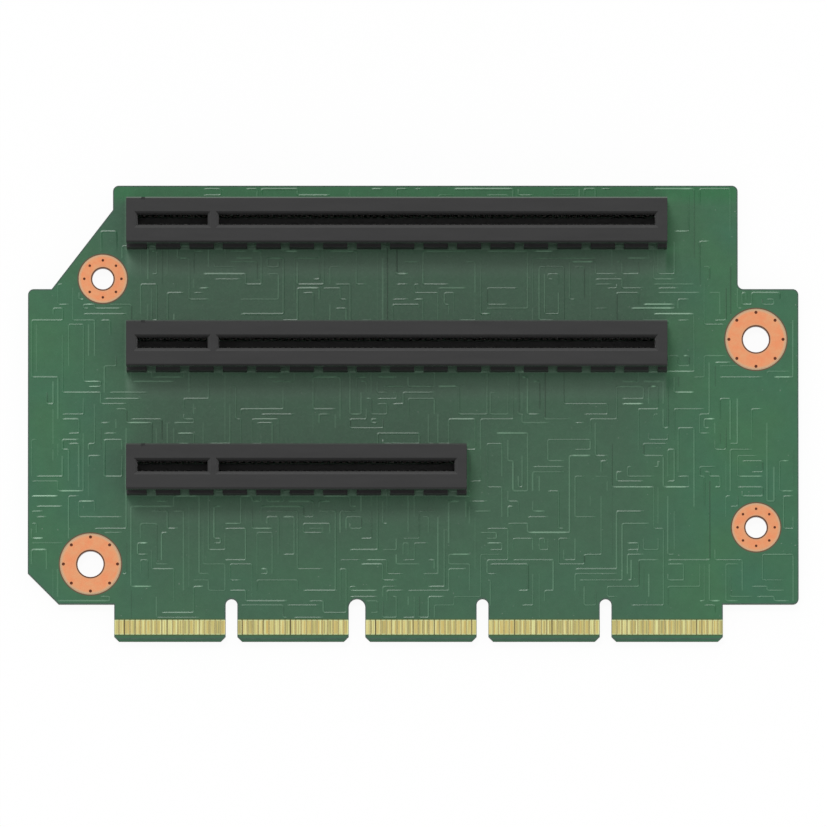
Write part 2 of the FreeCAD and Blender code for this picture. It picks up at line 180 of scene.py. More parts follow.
def add_relief(tree, shader, height, depth_mm, strength, **more):
    """Lead a height through a bump node to the shader's normal."""
    inputs = {"Height": height, "Distance": depth_mm * MM, "Strength": strength, **more}
    tree.links.new(node(tree, "ShaderNodeBump", inputs).outputs[0], shader.inputs["Normal"])


def dress(node_name, material):
    """Give a CAD node's own surface a better material."""
    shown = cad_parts[node_name]
    shown.data.materials.clear()
    shown.data.materials.append(material)


# soft drift of tone, which a cured coat has over a hand's width and over a few millimetres
tone_drift, drift_in, drift_out = shader_group(
    "tone_drift",
    [("Place", "NodeSocketVector", None), ("Wide", "NodeSocketFloat", 0.03),
     ("Near", "NodeSocketFloat", 0.4)],
    [("Wide drift", "NodeSocketFloat"), ("Near drift", "NodeSocketFloat")],
)
tree = tone_drift
wide = noise(tree, drift_in.outputs["Place"], drift_in.outputs["Wide"], 1.0)
near = noise(tree, drift_in.outputs["Place"], drift_in.outputs["Near"], 3.0)
tree.links.new(spread(tree, wide, 0.35, 0.65), drift_out.inputs["Wide drift"])
tree.links.new(spread(tree, near, 0.3, 0.7), drift_out.inputs["Near drift"])

# green of the mask: its drift, the glass weave that shows through it and stray dust, with painted shade
# over the middle, painted light along the top edge, and painted light below and past each housing
mask_coat, coat_in, coat_out = shader_group(
    "mask_coat",
    [("Place", "NodeSocketVector", None)],
    [("Colour", "NodeSocketColor"), ("Roughness", "NodeSocketFloat"),
     ("Height", "NodeSocketFloat")],
)
tree = mask_coat
coat_place = coat_in.outputs["Place"]
coat_x, coat_y, coat_z = apart(tree, coat_place)
drift = use_group(tree, tone_drift, {"Place": coat_place, "Wide": 0.09, "Near": 0.45})
half_width_mm = board_high.x / MM
top_edge_mm = board_high.y / MM
# painted shade: the mask is painted greyer over the middle, where the housings shade it, and less so
# towards the bottom
from_middle = maths(tree, "ABSOLUTE", maths(tree, "ADD", coat_x, shade_middle_left_mm))
shade_starts_mm = shade_starts_share * half_width_mm
shade_full_mm = shade_full_share * half_width_mm
middle_shade = spread(tree, from_middle, shade_starts_mm, shade_full_mm)
low_tone = spread(tree, coat_y, fade_starts_mm, fade_full_mm, 1.0, 0.72)
middle_shade = maths(tree, "MULTIPLY", middle_shade, low_tone)
# painted light: the front is painted a greener, less grey mask along the top edge, where the board is well
# lit
top_light = spread(tree, coat_y, top_edge_mm - top_light_starts_mm, top_edge_mm - top_light_full_mm)
mid_height_mm = (board_back + board_front) / (2 * MM)
on_front = spread(tree, coat_z, mid_height_mm - 0.3, mid_height_mm + 0.3)
top_light = maths(tree, "MULTIPLY", top_light, on_front)
warp = maths(tree, "SINE", maths(tree, "MULTIPLY", coat_x, math.tau / weave_pitch_mm))
weft = maths(tree, "SINE", maths(tree, "MULTIPLY", coat_y, math.tau / weave_pitch_mm))
weave = maths(tree, "MULTIPLY", warp, weft)
weave_patch = noise(tree, coat_place, 0.22, 2.0)
weave_shown = maths(tree, "MULTIPLY", weave, spread(tree, weave_patch, 0.45, 0.7))
green = blend_colour(tree, drift["Wide drift"], mask_green, mask_teal_green)
green = blend_colour(tree, middle_shade, green, mask_shaded_grey_green)
green = blend_colour(tree, top_light, green, mask_lit_top_green)
for housing in housing_nodes:
    # painted light: the mask is painted paler in the housing's shade below it, and greener past its right
    # end
    low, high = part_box(housing)
    place_name = housing.rsplit("_", 1)[1]
    left_mm, right_mm = low.x / MM, high.x / MM
    from_housing = maths(tree, "SUBTRACT", (low.y + high.y) / (2 * MM), coat_y)
    beside = spread(tree, from_housing, light_beside_mm, light_beside_mm - 0.3, 0.0, 0.8)
    rising = spread(tree, from_housing, 4.3, 6.0, 0.4, 1.0)
    falling = spread(tree, from_housing, light_end_mm, light_full_mm, 0.0, painted_light_share[place_name])
    painted_light = maths(tree, "MAXIMUM", beside, maths(tree, "MULTIPLY", rising, falling))
    painted_light = maths(tree, "MULTIPLY", painted_light, spread(tree, from_housing, -4.6, -4.1))
    painted_light = maths(tree, "MULTIPLY", painted_light, spread(tree, coat_x, left_mm - 0.5, left_mm + 0.2))
    past_end = spread(tree, coat_x, right_mm - 0.3, right_mm + 0.3)
    reach_mm = right_mm + light_past_end_mm
    fading = spread(tree, coat_x, reach_mm, right_mm, 0.0, past_end_share[place_name])
    level_with_end = spread(tree, maths(tree, "ABSOLUTE", from_housing), 5.5, 4.0)
    past_end_light = maths(tree, "MULTIPLY", fading, level_with_end)
    painted_light = node(tree, "ShaderNodeMix", {0: past_end, 2: painted_light, 3: past_end_light}).outputs[0]
    painted_light_colour = blend_colour(tree, past_end, mask_painted_light_green, mask_lit_green)
    green = blend_colour(tree, painted_light, green, painted_light_colour)
shade = maths(tree, "MULTIPLY_ADD", drift["Near drift"], 0.12, 0.94)
shade = maths(tree, "MULTIPLY_ADD", weave_shown, 0.035, shade)
green = node(tree, "ShaderNodeVectorMath", {0: green, 3: shade}, operation="SCALE").outputs[0]
specks = noise(tree, coat_place, 3.1, 0.0)
dust = spread(tree, specks, 0.86, 0.89, 0.0, 0.4)
green = blend_colour(tree, dust, green, dust_grey)
peel = noise(tree, coat_place, 1.4, 2.0)
tree.links.new(green, coat_out.inputs["Colour"])
tree.links.new(maths(tree, "MULTIPLY_ADD", peel, 0.10, 0.22), coat_out.inputs["Roughness"])
tree.links.new(maths(tree, "MULTIPLY_ADD", weave_shown, 0.06, peel), coat_out.inputs["Height"])

board_material, tree, shader = new_material("green_solder_mask_on_laminate", Specular_IOR_Level=mask_gloss)
place = place_in_mm(tree)
x, y, z = apart(tree, place)
coat = use_group(tree, mask_coat, {"Place": place})
colour = coat["Colour"]
for ring in ring_nodes:
    low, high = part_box(ring)
    centre = (low + high) / (2 * MM)
    radius_mm = (high.x - low.x) / (2 * MM)
    flat_place = stretched(tree, place, (1, 1, 0))
    from_centre = node(
        tree, "ShaderNodeVectorMath", {0: flat_place, 1: (centre.x, centre.y, 0)},
        operation="DISTANCE",
    ).outputs["Value"]
    # painted highlight: a tan ring is painted just outside the edge of each copper pad
    highlight_mm = large_ring_highlight_mm if radius_mm > large_ring_from_mm else small_ring_highlight_mm
    opening_mm = radius_mm + highlight_mm + ring_opening_mm
    in_opening = spread(tree, from_centre, opening_mm + ring_blur_mm, opening_mm - ring_blur_mm)
    colour = blend_colour(tree, in_opening, colour, opening_brown)
    on_highlight = spread(tree, from_centre, radius_mm + highlight_mm + resin_film_mm, radius_mm + highlight_mm)
    colour = blend_colour(tree, on_highlight, colour, highlight_tan)
band_middle_mm = (finger_low.y + finger_high.y) / (2 * MM)
band_half_mm = (finger_high.y - finger_low.y) / (2 * MM)
from_band = maths(tree, "ABSOLUTE", maths(tree, "SUBTRACT", y, band_middle_mm))
opening_half_mm = band_half_mm + band_opening_mm
in_band = spread(tree, from_band, opening_half_mm + band_blur_mm, opening_half_mm)
colour = blend_colour(tree, in_band, colour, opening_olive)
ply_noise = noise(tree, stretched(tree, place, (4.0, 4.0, 0.5)), 1.0, 1.0)
gap_noise = noise(tree, stretched(tree, place, (1.9, 0.02, 0.0)), 1.0, 0.0)
resin = blend_colour(tree, spread(tree, gap_noise, 0.60, 0.74), laminate_bare, laminate_dark)
between_fingers = spread(tree, from_band, band_half_mm, band_half_mm - resin_film_mm)
colour = blend_colour(tree, between_fingers, colour, resin)
face_up = apart(tree, node(tree, "ShaderNodeTexCoord").outputs["Normal"])[2]
on_face = spread(tree, maths(tree, "ABSOLUTE", face_up), 0.30, 0.50)
ply_wave = maths(tree, "MULTIPLY", ply_noise, 2.0)
ply = maths(tree, "SINE", maths(tree, "MULTIPLY_ADD", z, math.tau / ply_pitch_mm, ply_wave))
cut_edge = blend_colour(tree, spread(tree, ply, -0.4, 0.8), laminate_edge, laminate_ply)
colour = blend_colour(tree, on_face, cut_edge, colour)
tree.links.new(colour, shader.inputs["Base Color"])
matt = maths(tree, "MAXIMUM", maths(tree, "SUBTRACT", 1.0, on_face), in_band)
tree.links.new(
    node(tree, "ShaderNodeMix", {0: matt, 2: coat["Roughness"], 3: 0.6}).outputs[0],
    shader.inputs["Roughness"],
)
add_relief(tree, shader, coat["Height"], 0.004, 0.6)
dress("circuit_board", board_material)

# ------------------------------------------------------------------ copper tracks under the mask
# Etched copper tracks lie on both faces of the laminate, and the mask flows over them, so each one
# stands out as a low ridge. Its back is paler, partly from the thinner mask and partly as a painted
# highlight on the side towards the lamp, and its far shoulder carries painted shade. They run square
# to each other with rounded turns.
track_grid_mm = 0.86
track_jitter_mm = 0.2
track_to_edge_mm = 0.35
track_to_ring_mm = 0.42
track_to_finger_mm = 0.35
track_under_head_mm = 0.9
track_turn_mm = 0.32
track_half_mm = 0.17
track_shoulder_mm = 0.14
turn_steps = 4
track_faint = 0.12
track_fade_mm = 0.5
track_across_tones = [0.07, 0.10, 0.13, 0.17, 0.24, 0.72]
track_middle_share = 0.58
track_up_tones = [0.06, 0.09, 0.12, 0.17, 0.23]
track_shade_mm = 2.6
track_shade_share = 2.2
track_shade_tone = 0.35
track_shade_under_mm = 1.0
track_dark_from_mm = 36.0
track_dark_share = 0.12
track_dark_share_right = 0.35
track_tries_each = 14
track_pair_share = 0.4
track_sunk_mm = 0.006
track_end_share = 0.1
crest_off_middle = 0.35
# pale of the track crests, partly painted highlight, and dark of the painted shade on their far shoulders
crest_pale_sheen = (0.266, 0.500, 0.323, 1)
shoulder_painted_shade = (0.003, 0.030, 0.010, 1)


def mesh_piece(name, points, faces, material):
    """A new piece from points in metres, riding on the card."""
    mesh = bpy.data.meshes.new(name)
    mesh.from_pydata(points, [], faces)
    mesh.update()
    piece = bpy.data.objects.new(name, mesh)
    bpy.context.scene.collection.objects.link(piece)
    mesh.materials.append(material)
    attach(piece, "root")
    return piece


def skin(faces, first, rings, around, flip, closed=False):
    """Add the faces between rings of points, and a cap at each end unless the rings close up."""
    for ring in range(rings if closed else rings - 1):
        near = first + ring * around
        far = first + (ring + 1) % rings * around
        for step in range(around):
            onward = (step + 1) % around
            quad = (near + step, near + onward, far + onward, far + step)
            faces.append(quad[::-1] if flip else quad)
    if closed:
        return
    for start, turned in ((first, not flip), (first + (rings - 1) * around, flip)):
        cap = tuple(range(start, start + around))
        faces.append(cap[::-1] if turned else cap)


def board_outline(surface_z):
    """The closed run of points round the flat face of the board at that height, in order. Edges that
    only one flat facet uses are joined end to end, and the widest loop is the outline."""
    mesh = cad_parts["circuit_board"].data
    level = [face for face in mesh.polygons if abs(face.center.z - surface_z) < 0.01 * MM]
    times_used = {}
    for face in level:
        if abs(face.normal.z) < 0.99:
            continue
        for ends in face.edge_keys:
            corners = [mesh.vertices[index].co for index in ends]
            edge = tuple(sorted((round(corner.x, 8), round(corner.y, 8)) for corner in corners))
            times_used[edge] = times_used.get(edge, 0) + 1
    after = {}
    for (a, b), used in times_used.items():
        if used == 1:
            after.setdefault(a, []).append(b)
            after.setdefault(b, []).append(a)
    loops = []
    left = set(after)
    while left:
        spot = min(left)
        run = []
        while spot is not None:
            run.append(spot)
            left.discard(spot)
            spot = next((near for near in after[spot] if near in left), None)
        loops.append(run)
    return max(loops, key=lambda run: max(spot[0] for spot in run) - min(spot[0] for spot in run))


front_outline = board_outline(board_front)


def inside_outline(px, py, outline):
    """True if a line to the left of the point crosses the outline an odd number of times."""
    inside = False
    before = outline[-1]
    for spot in outline:
        if (spot[1] > py) != (before[1] > py):
            crossing = (before[0] - spot[0]) * (py - spot[1]) / (before[1] - spot[1]) + spot[0]
            if px < crossing:
                inside = not inside
        before = spot
    return inside


ring_zones = []
for ring in ring_nodes:
    low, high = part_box(ring)
    ring_zones.append(((low + high) / 2, (high.x - low.x) / 2))
housing_zones = [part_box(name) for name in housing_nodes]


def open_to_tracks(px, py, under_housings):
    """True where the mask may carry a track: clear of edges, rings, fingers and, on the front,
    of the middle of the housings."""
    clear = track_to_edge_mm * MM
    for dx, dy in ((clear, 0), (-clear, 0), (0, clear), (0, -clear)):
        if not inside_outline(px + dx, py + dy, front_outline):
            return False
    if py < finger_high.y + track_to_finger_mm * MM:
        return False
    for centre, radius in ring_zones:
        if math.hypot(px - centre.x, py - centre.y) < radius + track_to_ring_mm * MM:
            return False
    hidden = track_under_head_mm * MM
    zones = [] if under_housings else housing_zones
    for low, high in zones:
        if low.x < px < high.x and low.y + hidden < py < high.y - hidden:
            return False
    return True


def lay_tracks(seed, wanted, under_housings):
    """Square runs on a grid that never cross, as lists of grid spots. Some go in pairs."""
    dice = random.Random(seed)
    step = track_grid_mm * MM
    columns = int(board_high.x / step)
    rows = int(board_high.y / step)
    free = {
        (i, j)
        for i in range(-columns, columns + 1)
        for j in range(-rows, rows + 1)
        if open_to_tracks(i * step, j * step, under_housings)
    }
    order = sorted(free)
    jitter = track_jitter_mm * MM
    across = {i: i * step + dice.uniform(-jitter, jitter) for i in range(-columns, columns + 1)}
    up = {j: j * step + dice.uniform(-jitter, jitter) for j in range(-rows, rows + 1)}
    runs = []
    for attempt in range(wanted * track_tries_each):
        if len(runs) >= wanted:
            break
        spot = dice.choice(order)
        if spot not in free:
            continue
        run = [spot]
        taken = {spot}
        heading = dice.choice([(1, 0), (-1, 0), (0, 1), (0, -1)])
        for leg in range(dice.choice([1, 2, 3, 3, 4, 5, 6, 7])):
            reach = dice.choice([2, 3, 4, 5, 6, 8] if heading[0] else [2, 4, 6, 8, 11, 15])
            for stride in range(reach):
                ahead = (run[-1][0] + heading[0], run[-1][1] + heading[1])
                if ahead not in free or ahead in taken:
                    break
                run.append(ahead)
                taken.add(ahead)
            turn = dice.choice([1, -1])
            heading = (-heading[1] * turn, heading[0] * turn)
        if len(run) < 3:
            continue
        runs.append(run)
        free -= taken
        aside = dice.choice([(1, 1), (1, -1), (2, 1), (-1, 2)])
        partner = [(i + aside[0], j + aside[1]) for i, j in run]
        if dice.random() < track_pair_share and free.issuperset(partner):
            runs.append(partner)
            free.difference_update(partner)
    return [[(across[i], up[j]) for i, j in run] for run in runs]


def legs_of(run):
    """Lines of points along the straight legs of a run and round its turns, each with True for a leg
    across the card, False for one up the card, or None for a turn."""
    corners = [run[0]]
    for before, spot, after in zip(run, run[1:], run[2:]):
        across, up = spot[0] - before[0], spot[1] - before[1]
        if across * (after[1] - spot[1]) != up * (after[0] - spot[0]):
            corners.append(spot)
    corners.append(run[-1])
    corners = [Vector((*corner, 0)) for corner in corners]
    legs = []
    start = corners[0]
    for index in range(1, len(corners)):
        end = corners[index]
        heading = (end - corners[index - 1]).normalized()
        last = index == len(corners) - 1
        stop = end if last else end - heading * track_turn_mm * MM
        legs.append(([start, stop], abs(heading.x) > 0.5))
        if last:
            break
        onward = (corners[index + 1] - end).normalized()
        leave = end + onward * track_turn_mm * MM
        turn = []
        for step in range(turn_steps + 1):
            t = step / turn_steps
            turn.append(end + (stop - end) * (1 - t) ** 2 + (leave - end) * t ** 2)
        legs.append((turn, None))
        start = leave
    return legs


def ridge(points, faces, shades, line, surface, out, width, slope, height, tones):
    """Add one low ridge along a line of points with a tone for each: a steep shoulder on each side
    of two nearly flat strips. The tones are painted highlight and painted shade: the shoulder nearer
    the lamp, or the left one, is painted the paler."""
    count = len(line)
    shoulder = track_shoulder_mm * width * MM
    foot = track_half_mm * width * MM
    crest = height + shoulder * slope
    sunk = -track_sunk_mm * MM
    first = len(points)
    for index, spot in enumerate(line):
        ahead = line[min(index + 1, count - 1)] - line[max(index - 1, 0)]
        side = Vector((-ahead.y, ahead.x, 0)).normalized()
        toward = 1 if side.y - 0.5 * side.x > 0 else -1
        at_end = index in (0, count - 1)
        low = track_end_share if at_end else 1.0
        crest_line = -crest_off_middle * shoulder * toward
        section = (
            (foot, sunk), (shoulder, height * low), (crest_line, crest * low),
            (-shoulder, height * low), (-foot, sunk),
        )
        for across, rise in section:
            points.append(spot + side * across + Vector((0, 0, surface + out * rise)))
        lit, top, unlit = tones[index]
        left, right = (lit, unlit) if toward > 0 else (unlit, lit)
        shades.extend([0.0, left, top, right, 0.0])
    skin(faces, first, count, len(section), out > 0)


def in_housing_shade(start, stop):
    """True for a leg on the strip of board that a housing shades."""
    for low, high in housing_zones:
        along = low.x < start.x < high.x or low.x < stop.x < high.x
        if along and low.y - track_shade_mm * MM < start.y < low.y + track_shade_under_mm * MM:
            return True
    return False


def run_line(run, dice):
    """Points along a whole run, each with the tones of its lit shoulder, back and unlit shoulder, which
    paint highlight and shade. A leg across the card gets a painted glint, and one up the card is faint,
    or painted dark for some towards the right."""
    line, tones = [], []
    hush = 0.65 + 0.35 * dice.random()
    for points, across in legs_of(run):
        if across is None:
            line.extend(points[1:-1])
            tones.extend([(track_faint * hush, track_faint * hush, 0.0)] * (len(points) - 2))
            continue
        start, stop = points
        if across:
            tone = dice.choice(track_across_tones) * hush
            if abs(start.x) < track_dark_from_mm * MM:
                tone *= track_middle_share
            # painted highlight: a leg across the card in a housing's shade is painted brighter
            if in_housing_shade(start, stop):
                tone = max(track_shade_share * tone, track_shade_tone)
            fade = min(0.4, track_fade_mm * MM / (stop - start).length)
            middle = dice.uniform(0.3, 0.7)
            levels = [
                (0.0, track_faint * hush), (fade, tone), (middle, tone * dice.uniform(0.6, 1.0)),
                (1.0 - fade, tone * dice.uniform(0.7, 1.0)), (1.0, track_faint * hush),
            ]
            levels = [(share, (level, 0.9 * level, -0.35 * level)) for share, level in sorted(levels)]
        else:
            tone = dice.choice(track_up_tones) * hush
            # painted shade: some legs up the card are painted dark on the back and the far shoulder
            right = start.x > track_dark_from_mm * MM
            dark = dice.random() < (track_dark_share_right if right else track_dark_share)
            relief = (0.3 * tone, -1.6 * tone, -1.6 * tone) if dark else (tone, 0.8 * tone, -0.9 * tone)
            levels = [(0.0, relief), (1.0, relief)]
        for share, level in levels:
            line.append(start + (stop - start) * share)
            tones.append(level)
    return line, tones


# the mask over a track: the same coat, paler on the crest, partly from the thinner mask and partly as a
# painted highlight, and darker on the shoulder away from the lamp, a painted shade
track_material, tree, shader = new_material("green_solder_mask_over_tracks", Specular_IOR_Level=mask_gloss)
place = place_in_mm(tree)
coat = use_group(tree, mask_coat, {"Place": place})
crest_sheen_and_shade = node(tree, "ShaderNodeAttribute", attribute_name="crest").outputs["Fac"]
below_zero = maths(tree, "MULTIPLY", crest_sheen_and_shade, -1.0)
colour = blend_colour(tree, spread(tree, crest_sheen_and_shade, 0.0, 1.0), coat["Colour"], crest_pale_sheen)
colour = blend_colour(tree, spread(tree, below_zero, 0.0, 0.5), colour, shoulder_painted_shade)
tree.links.new(colour, shader.inputs["Base Color"])
tree.links.new(coat["Roughness"], shader.inputs["Roughness"])
add_relief(tree, shader, coat["Height"], 0.001, 0.4)


def track_piece(name, seed, wanted, surface, out, under_housings):
    """All the tracks of one face as one piece, with the tone of each point kept as crest."""
    dice = random.Random(seed + 100)
    points, faces, shades = [], [], []
    for run in lay_tracks(seed, wanted, under_housings):
        slope = math.tan(math.radians(dice.choice([3, 5, 7, 8, 9])))
        height = dice.choice([0.014, 0.020, 0.028]) * MM
        width = dice.choice([0.8, 1.0, 1.0, 1.2])
        line, tones = run_line(run, dice)
        ridge(points, faces, shades, line, surface, out, width, slope, height, tones)
    piece = mesh_piece(name, points, faces, track_material)
    crest = piece.data.attributes.new("crest", "FLOAT", "POINT")
    crest.data.foreach_set("value", shades)


track_piece("front_tracks", 7, 400, board_front, 1, False)
track_piece("back_tracks", 23, 300, board_back, -1, True)

# ------------------------------------------------------------------ routed rim
# The router breaks the mask back a little from the cut, which leaves a thin dark line of laminate
# along the outline of both faces.
rim_width_mm = 0.19
rim_inset_mm = 0.004
rim_lift_mm = 0.004
rim_dark = (0.026, 0.066, 0.045, 1)
rim_pale = (0.048, 0.090, 0.068, 1)
rim_material, tree, shader = new_material("laminate_rim", Specular_IOR_Level=mask_gloss, Roughness=0.5)
place = place_in_mm(tree)
chips = noise(tree, place, 0.8, 3.0)
colour = blend_colour(tree, spread(tree, chips, 0.35, 0.7), rim_dark, rim_pale)
tree.links.new(colour, shader.inputs["Base Color"])
add_relief(tree, shader, chips, 0.01, 0.5)


def rim_piece(name, surface, out):
    """A thin flat band just inside the outline of one face."""
    outline = [Vector((*spot, 0)) for spot in board_outline(surface)]
    area = sum(a.x * b.y - b.x * a.y for a, b in zip(outline, outline[1:] + outline[:1]))
    if area < 0:
        outline.reverse()
    count = len(outline)
    points, faces = [], []
    for index, spot in enumerate(outline):
        before = (spot - outline[index - 1]).normalized()
        ahead = (outline[(index + 1) % count] - spot).normalized()
        inward = Vector((-before.y - ahead.y, before.x + ahead.x, 0))
        inward = inward.normalized() / max(0.5, inward.length / 2)
        edge = spot + inward * rim_inset_mm * MM
        inner = spot + inward * rim_width_mm * MM
        for corner, side in ((edge, -1), (edge, 1), (inner, 1), (inner, -1)):
            points.append(corner + Vector((0, 0, surface + out * side * rim_lift_mm * MM)))
    skin(faces, 0, count, 4, out > 0, closed=True)
    mesh_piece(name, points, faces, rim_material)


rim_piece("front_rim", board_front, 1)
rim_piece("back_rim", board_back, -1)

# ------------------------------------------------------------------ plated mounting rings
# Bare copper pads on both faces of each mounting hole, joined by the plated barrel. Eight small
# vias round each hole stitch the pads to the ground layer, and their mouths are filled and dark.
copper_orange = (0.500, 0.180, 0.081, 1)
copper_pale = (0.476, 0.215, 0.103, 1)
# paler copper, painted as a highlight along the pad's edges
copper_rim_highlight = (0.38, 0.240, 0.142, 1)
# brown, painted as shade at the hole
copper_hole_shade = (0.075, 0.028, 0.014, 1)
via_dark = (0.055, 0.010, 0.003, 1)
via_brown = (0.15, 0.034, 0.011, 1)
vias_round_a_hole = 8
large_hole_via_mm = 0.26
small_hole_via_mm = 0.22
small_hole_via_circle_mm = 3.06
large_hole_via_circle_mm = 4.46
large_hole_from_mm = 2.0
via_profile = ((1.0, -0.01), (1.0, 0.006), (0.8, 0.010), (0.35, 0.003))
via_sides = 20

radial_copper, radial_in, radial_out = shader_group(
    "radial_copper",
    [("Place", "NodeSocketVector", None), ("Centre", "NodeSocketVector", None),
     ("Hole radius", "NodeSocketFloat", 1.75), ("Pad radius", "NodeSocketFloat", 4.0)],
    [("Colour", "NodeSocketColor"), ("Roughness", "NodeSocketFloat"), ("Height", "NodeSocketFloat")],
)
tree = radial_copper
ring_place = radial_in.outputs["Place"]
flat_place = stretched(tree, ring_place, (1, 1, 0))
from_centre = node(
    tree, "ShaderNodeVectorMath", {0: flat_place, 1: radial_in.outputs["Centre"]},
    operation="DISTANCE",
).outputs["Value"]
to_rim = maths(tree, "SUBTRACT", radial_in.outputs["Pad radius"], from_centre)
to_hole = maths(tree, "SUBTRACT", from_centre, radial_in.outputs["Hole radius"])
cloud = noise(tree, ring_place, 0.9, 4.0, 0.6)
fine = noise(tree, ring_place, 9.0, 2.0)
copper = blend_colour(tree, spread(tree, cloud, 0.35, 0.65), copper_orange, copper_pale)
# painted highlight: the copper is painted paler towards the pad's rim and, by half, towards the hole
near_rim = spread(tree, to_rim, 0.42, 0.08)
near_hole = spread(tree, to_hole, 0.50, 0.30, 0.0, 0.5)
edge_highlight = maths(tree, "MAXIMUM", near_rim, near_hole)
copper = blend_colour(tree, edge_highlight, copper, copper_rim_highlight)
# painted shade: the copper is painted brown at the edge of the hole and down its barrel
copper = blend_colour(tree, spread(tree, to_hole, 0.26, 0.18), copper, copper_hole_shade)
tree.links.new(copper, radial_out.inputs["Colour"])
rough = maths(tree, "MULTIPLY_ADD", fine, 0.16, 0.34)
tree.links.new(rough, radial_out.inputs["Roughness"])
height = maths(tree, "MULTIPLY_ADD", fine, 0.3, cloud)
tree.links.new(height, radial_out.inputs["Height"])

via_material, tree, shader = new_material("via_fill_brown", Specular_IOR_Level=0.15, Roughness=0.5)
place = place_in_mm(tree)
fill = noise(tree, place, 6.0, 3.0)
tree.links.new(blend_colour(tree, fill, via_dark, via_brown), shader.inputs["Base Color"])
add_relief(tree, shader, fill, 0.01, 0.5)


def turned_shape(points, faces, centre, profile_mm, sides, surface, out):
    """Add a closed shape turned about an upright axis. Its profile is pairs of radius and rise."""
    first = len(points)
    for radius, rise in profile_mm:
        for step in range(sides):
            angle = math.tau * step / sides
            points.append(Vector((
                centre.x + radius * MM * math.cos(angle),
                centre.y + radius * MM * math.sin(angle),
                surface + out * rise * MM,
            )))
    skin(faces, first, len(profile_mm), sides, out < 0)


for ring in ring_nodes:
    place_name = ring.removeprefix("plated_ring_")
    low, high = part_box(ring)
    centre = (low + high) / 2
    pad_radius = (high.x - low.x) / 2
    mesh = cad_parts[ring].data
    hole_radius = min(math.hypot(v.co.x - centre.x, v.co.y - centre.y) for v in mesh.vertices)
    material, tree, shader = new_material(f"bare_copper_{place_name}", Metallic=0.8)
    copper = use_group(tree, radial_copper, {
        "Place": place_in_mm(tree),
        "Centre": (centre.x / MM, centre.y / MM, 0),
        "Hole radius": hole_radius / MM,
        "Pad radius": pad_radius / MM,
    })
    tree.links.new(copper["Colour"], shader.inputs["Base Color"])
    tree.links.new(copper["Roughness"], shader.inputs["Roughness"])
    add_relief(tree, shader, copper["Height"], 0.006, 0.6)
    dress(ring, material)
    points, faces = [], []
    large = hole_radius > large_hole_from_mm * MM
    via_mm = large_hole_via_mm if large else small_hole_via_mm
    dimple_mm = [(via_mm * share, rise) for share, rise in via_profile]
    circle = (large_hole_via_circle_mm if large else small_hole_via_circle_mm) * MM
    for step in range(vias_round_a_hole):
        angle = math.tau * step / vias_round_a_hole
        spot = Vector((centre.x + circle * math.cos(angle), centre.y + circle * math.sin(angle), 0))
        turned_shape(points, faces, spot, dimple_mm, via_sides, high.z, 1)
        turned_shape(points, faces, spot, dimple_mm, via_sides, low.z, -1)
    mesh_piece(f"ring_vias_{place_name}", points, faces, via_material)

# ------------------------------------------------------------------ edge fingers
# Hard gold over nickel and copper, on both faces of the tongues. The plating is streaked along each
# finger, and mating has wiped fine bright lines into it.
gold_mid = (0.337, 0.314, 0.121, 1)
gold_bright = (0.455, 0.456, 0.219, 1)
gold_orange = (0.364, 0.271, 0.088, 1)
gold_olive = (0.218, 0.204, 0.086, 1)
gold_pale = (0.337, 0.389, 0.205, 1)

gold_material, tree, shader = new_material("streaked_hard_gold", Metallic=0.85)
place = place_in_mm(tree)
x, y, z = apart(tree, place)
broad = noise(tree, stretched(tree, place, (1.7, 0.03, 1.0)), 1.0, 2.0, 0.6)
streak = noise(tree, stretched(tree, place, (4.6, 0.05, 1.0)), 1.0, 1.0)
scratch = noise(tree, stretched(tree, place, (22.0, 0.25, 1.0)), 1.0, 2.0)
gold = blend_colour(tree, spread(tree, broad, 0.35, 0.65), gold_orange, gold_mid)
gold = blend_colour(tree, spread(tree, streak, 0.52, 0.66), gold, gold_bright)
gold = blend_colour(tree, spread(tree, streak, 0.44, 0.32), gold, gold_olive)
gold = blend_colour(tree, spread(tree, scratch, 0.6, 0.75, 0.0, 0.35), gold, gold_bright)
from_band = maths(tree, "ABSOLUTE", maths(tree, "SUBTRACT", y, band_middle_mm))
near_end = spread(tree, from_band, band_half_mm - 0.2, band_half_mm - 0.05)
gold = blend_colour(tree, near_end, gold, gold_pale)
tree.links.new(gold, shader.inputs["Base Color"])
tree.links.new(spread(tree, scratch, 0.3, 0.7, 0.26, 0.44), shader.inputs["Roughness"])
add_relief(tree, shader, scratch, 0.003, 0.5)
for finger in finger_nodes:
    dress(finger, gold_material)

# ------------------------------------------------------------------ connector housings
# Black glass-filled polyester, moulded in one piece with a fine matt grain and held to the board by
# its two pegs and its soldered contacts. The mould leaves long flow marks. The sharp edges are rounded
# in the shading and painted a little paler, a painted highlight.
plastic_gloss = 0.31
plastic_black = (0.0078, 0.0078, 0.0080, 1)
plastic_grey = (0.0138, 0.0136, 0.0140, 1)
# colours of the painted highlight and painted shade on the edges and slopes
plastic_sheen = (0.066, 0.066, 0.066, 1)
plastic_shaded = (0.010, 0.010, 0.010, 1)
# painted light and shade inside the slot: its floor, its mouth and its walls
slot_floor_painted_light = (0.036, 0.036, 0.036, 1)
slot_mouth_painted_shade = (0.003, 0.003, 0.003, 1)
slot_wall_painted_light = (0.92, 0.92, 0.92, 1)
slot_lip_mm = 0.95
slope_foot_shade = (0.002, 0.002, 0.002, 1)
slope_foot_mm = 0.24
# the painted highlight along the far top edge
rail_highlight = (0.110, 0.146, 0.118, 1)
rail_width_mm = 0.24
inner_half_mm = 2.6
lead_in_mm = 0.5
wall_smoother = 0.28
lip_rougher = 0.5
top_band_mm = 0.3
edge_round_mm = 0.12
rail_shine = {"upper": 1.0, "middle": 0.4, "lower": 0.35}

